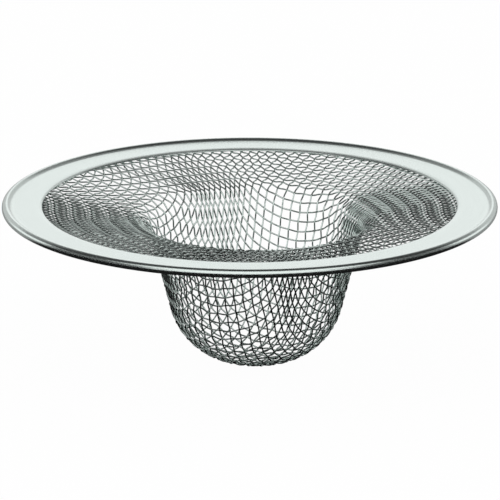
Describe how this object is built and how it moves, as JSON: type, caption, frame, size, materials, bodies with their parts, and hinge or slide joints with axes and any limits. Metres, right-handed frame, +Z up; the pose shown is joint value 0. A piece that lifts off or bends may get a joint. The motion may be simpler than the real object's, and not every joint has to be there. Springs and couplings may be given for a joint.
{
  "type": "bathtub drain strainer",
  "caption": "Bowl-shaped drain strainer of woven steel wire with a deep round basket, its edge gripped in a flat ring with a rolled outer bead.",
  "frame": {"origin": "under the centre of the rim, on the surface that the floor of the basket stands on", "axes": "+Z up, out of the open mouth; the picture looks along +Y with +X to the right"},
  "size_m": [0.07, 0.07, 0.0233],
  "materials": {
    "rim_steel": "satin sheet",
    "wire_steel": "drawn wire"
  },
  "bodies": {
    "root": {"rim_ring": "rim_steel", "warp_wire_01": "wire_steel", "warp_wire_02": "wire_steel", "warp_wire_03": "wire_steel", "warp_wire_04": "wire_steel", "warp_wire_05": "wire_steel", "warp_wire_06": "wire_steel", "warp_wire_07": "wire_steel", "warp_wire_08": "wire_steel", "warp_wire_09": "wire_steel", "warp_wire_10": "wire_steel", "warp_wire_11": "wire_steel", "warp_wire_12": "wire_steel", "warp_wire_13": "wire_steel", "warp_wire_14": "wire_steel", "warp_wire_15": "wire_steel", "warp_wire_16": "wire_steel", "warp_wire_17": "wire_steel", "warp_wire_18": "wire_steel", "warp_wire_19": "wire_steel", "warp_wire_20": "wire_steel", "warp_wire_21": "wire_steel", "warp_wire_22": "wire_steel", "warp_wire_23": "wire_steel", "warp_wire_24": "wire_steel", "warp_wire_25": "wire_steel", "warp_wire_26": "wire_steel", "warp_wire_27": "wire_steel", "warp_wire_28": "wire_steel", "warp_wire_29": "wire_steel", "weft_wire_01": "wire_steel", "weft_wire_02": "wire_steel", "weft_wire_03": "wire_steel", "weft_wire_04": "wire_steel", "weft_wire_05": "wire_steel", "weft_wire_06": "wire_steel", "weft_wire_07": "wire_steel", "weft_wire_08": "wire_steel", "weft_wire_09": "wire_steel", "weft_wire_10": "wire_steel", "weft_wire_11": "wire_steel", "weft_wire_12": "wire_steel", "weft_wire_13": "wire_steel", "weft_wire_14": "wire_steel", "weft_wire_15": "wire_steel", "weft_wire_16": "wire_steel", "weft_wire_17": "wire_steel", "weft_wire_18": "wire_steel", "weft_wire_19": "wire_steel", "weft_wire_20": "wire_steel", "weft_wire_21": "wire_steel", "weft_wire_22": "wire_steel", "weft_wire_23": "wire_steel", "weft_wire_24": "wire_steel", "weft_wire_25": "wire_steel", "weft_wire_26": "wire_steel", "weft_wire_27": "wire_steel", "weft_wire_28": "wire_steel", "weft_wire_29": "wire_steel"}
  },
  "joints": []
}
